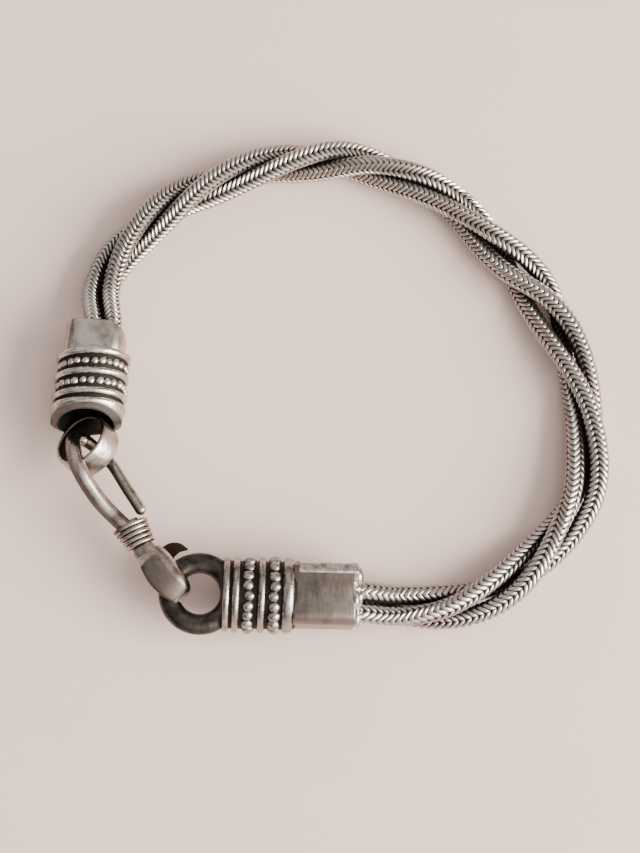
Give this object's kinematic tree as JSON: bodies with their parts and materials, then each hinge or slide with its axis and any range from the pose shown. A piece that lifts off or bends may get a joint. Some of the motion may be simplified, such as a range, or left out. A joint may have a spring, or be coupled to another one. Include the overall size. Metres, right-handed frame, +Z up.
{
  "type": "woven strand bracelet with hook clasp",
  "caption": "Bracelet of woven strands twisted together between beaded end caps, closed by a wire-bound hook in a soldered loop.",
  "frame": {"origin": "centre of the overall box at the surface that the bracelet lies on", "axes": "+X to the right along the ring end cap, the longest way across the loop; +Y from the ring end cap to the far side of the loop; +Z up from the surface, along the wrist's axis"},
  "size_m": [0.0736, 0.067, 0.0107],
  "materials": {
    "woven_silver": "oxidised silver weave, dark in the gaps and worn bright on the wires",
    "cap_silver": "oxidised silver casting, dark grooves and worn bright ribs and granules",
    "hook_silver": "worn silver, softly polished, dark in the binding"
  },
  "bodies": {
    "root": {"strand_1": "woven_silver", "strand_2": "woven_silver", "strand_3": "woven_silver", "hook_end_cap": "cap_silver", "ring_end_cap": "cap_silver", "hook": "hook_silver", "hook_binding": "hook_silver"}
  },
  "joints": []
}
